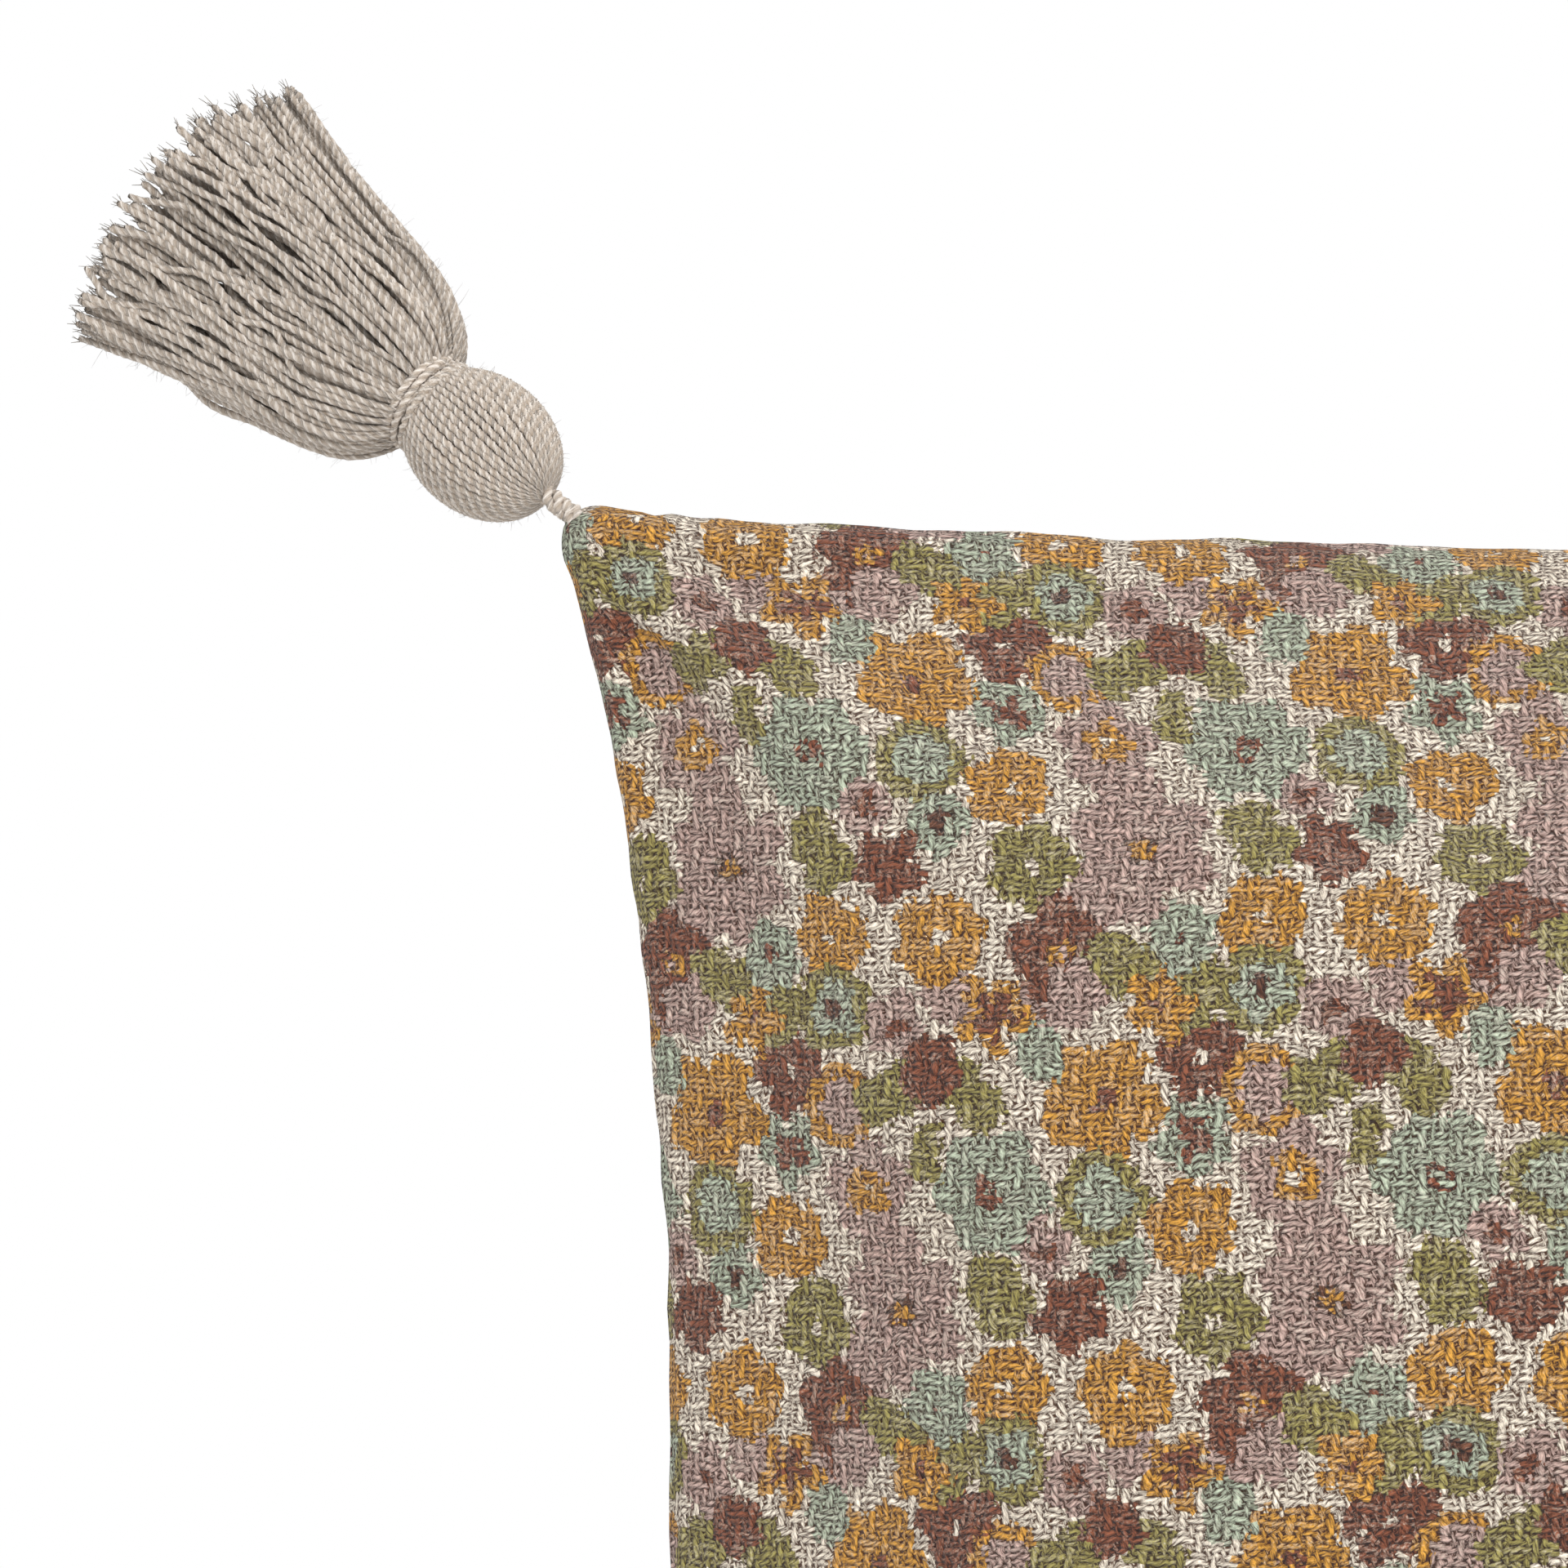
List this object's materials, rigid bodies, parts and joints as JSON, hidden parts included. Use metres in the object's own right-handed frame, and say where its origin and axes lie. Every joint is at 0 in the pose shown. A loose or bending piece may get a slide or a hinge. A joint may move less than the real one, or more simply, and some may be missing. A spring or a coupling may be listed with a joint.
{
  "type": "throw pillow",
  "caption": "Rectangular throw cushion with a coarse printed cotton cover, a concealed zip in the bottom edge, a filled insert and a cotton yarn tassel on each corner.",
  "frame": {"origin": "under the middle of the cushion, on the surface that it lies on with its back panel down", "axes": "+X along the length, to the right seen from the front panel; +Y across the width, towards the top edge; +Z out of the front panel"},
  "size_m": [0.7776, 0.5538, 0.125],
  "materials": {
    "printed_cotton": "coarse cotton of long floats in both directions, ditsy floral print in mustard, brown, sage, pale blue and mauve on off-white, matt",
    "printed_cotton_back": "the same coarse printed cotton",
    "casing": "plain white non-woven casing, matt",
    "fill": "white polyester fibre",
    "zip_tape": "woven beige polyester tape, matt",
    "zip_teeth": "beige nylon coil, satin",
    "zip_metal": "antique nickel-brass colour, satin",
    "label": "blank white satin ribbon",
    "tassel_cotton": "undyed two-ply cotton yarn, warm grey-beige, matt"
  },
  "bodies": {
    "cover": {"cover_front": "printed_cotton", "cover_back": "printed_cotton_back", "insert_casing_front": "casing", "insert_casing_back": "casing", "insert_fill": "fill", "zip_tape_front": "zip_tape", "zip_tape_back": "zip_tape", "zip_chain_front": "zip_teeth", "zip_chain_back": "zip_teeth", "zip_top_stop": "zip_metal", "zip_bottom_stop": "zip_metal", "care_label": "label"},
    "zip_slider": {"zip_slider": "zip_metal"},
    "zip_pull": {"zip_pull": "zip_metal"},
    "cord_top_left": {"tassel_cord_top_left": "tassel_cotton"},
    "tassel_top_left": {"tassel_head_top_left": "tassel_cotton", "tassel_binding_top_left": "tassel_cotton", "tassel_skirt_top_left": "tassel_cotton"},
    "cord_top_right": {"tassel_cord_top_right": "tassel_cotton"},
    "tassel_top_right": {"tassel_head_top_right": "tassel_cotton", "tassel_binding_top_right": "tassel_cotton", "tassel_skirt_top_right": "tassel_cotton"},
    "cord_bottom_left": {"tassel_cord_bottom_left": "tassel_cotton"},
    "tassel_bottom_left": {"tassel_head_bottom_left": "tassel_cotton", "tassel_binding_bottom_left": "tassel_cotton", "tassel_skirt_bottom_left": "tassel_cotton"},
    "cord_bottom_right": {"tassel_cord_bottom_right": "tassel_cotton"},
    "tassel_bottom_right": {"tassel_head_bottom_right": "tassel_cotton", "tassel_binding_bottom_right": "tassel_cotton", "tassel_skirt_bottom_right": "tassel_cotton"}
  },
  "joints": [
    {"name": "zip_slide", "type": "slide", "parent": "cover", "child": "zip_slider", "axis": [-1, 0, 0], "range_m": [0, 0.352]},
    {"name": "zip_pull_swing", "type": "hinge", "parent": "zip_slider", "child": "zip_pull", "pos_m": [0.176, -0.1857, 0.04645], "axis": [0, 0, 1], "range_deg": [0, 150]},
    {"name": "tassel_lift_top_left", "type": "hinge", "parent": "cover", "child": "cord_top_left", "pos_m": [-0.29335, 0.19263, 0.04433], "axis": [0.6157, 0.788, 0], "range_deg": [-75, 100]},
    {"name": "tassel_turn_top_left", "type": "hinge", "parent": "cord_top_left", "child": "tassel_top_left", "pos_m": [-0.2941, 0.19322, 0.04403], "axis": [-0.2304, 0.18, 0.9563], "range_deg": [-50, 50]},
    {"name": "tassel_lift_top_right", "type": "hinge", "parent": "cover", "child": "cord_top_right", "pos_m": [0.29335, 0.19263, 0.04433], "axis": [0.6157, -0.788, 0], "range_deg": [-75, 100]},
    {"name": "tassel_turn_top_right", "type": "hinge", "parent": "cord_top_right", "child": "tassel_top_right", "pos_m": [0.2941, 0.19322, 0.04403], "axis": [0.2304, 0.18, 0.9563], "range_deg": [-50, 50]},
    {"name": "tassel_lift_bottom_left", "type": "hinge", "parent": "cover", "child": "cord_bottom_left", "pos_m": [-0.29335, -0.19263, 0.04433], "axis": [-0.6157, 0.788, 0], "range_deg": [-75, 100]},
    {"name": "tassel_turn_bottom_left", "type": "hinge", "parent": "cord_bottom_left", "child": "tassel_bottom_left", "pos_m": [-0.2941, -0.19322, 0.04403], "axis": [-0.2304, -0.18, 0.9563], "range_deg": [-50, 50]},
    {"name": "tassel_lift_bottom_right", "type": "hinge", "parent": "cover", "child": "cord_bottom_right", "pos_m": [0.29335, -0.19263, 0.04433], "axis": [-0.6157, -0.788, 0], "range_deg": [-75, 100]},
    {"name": "tassel_turn_bottom_right", "type": "hinge", "parent": "cord_bottom_right", "child": "tassel_bottom_right", "pos_m": [0.2941, -0.19322, 0.04403], "axis": [0.2304, -0.18, 0.9563], "range_deg": [-50, 50]}
  ]
}
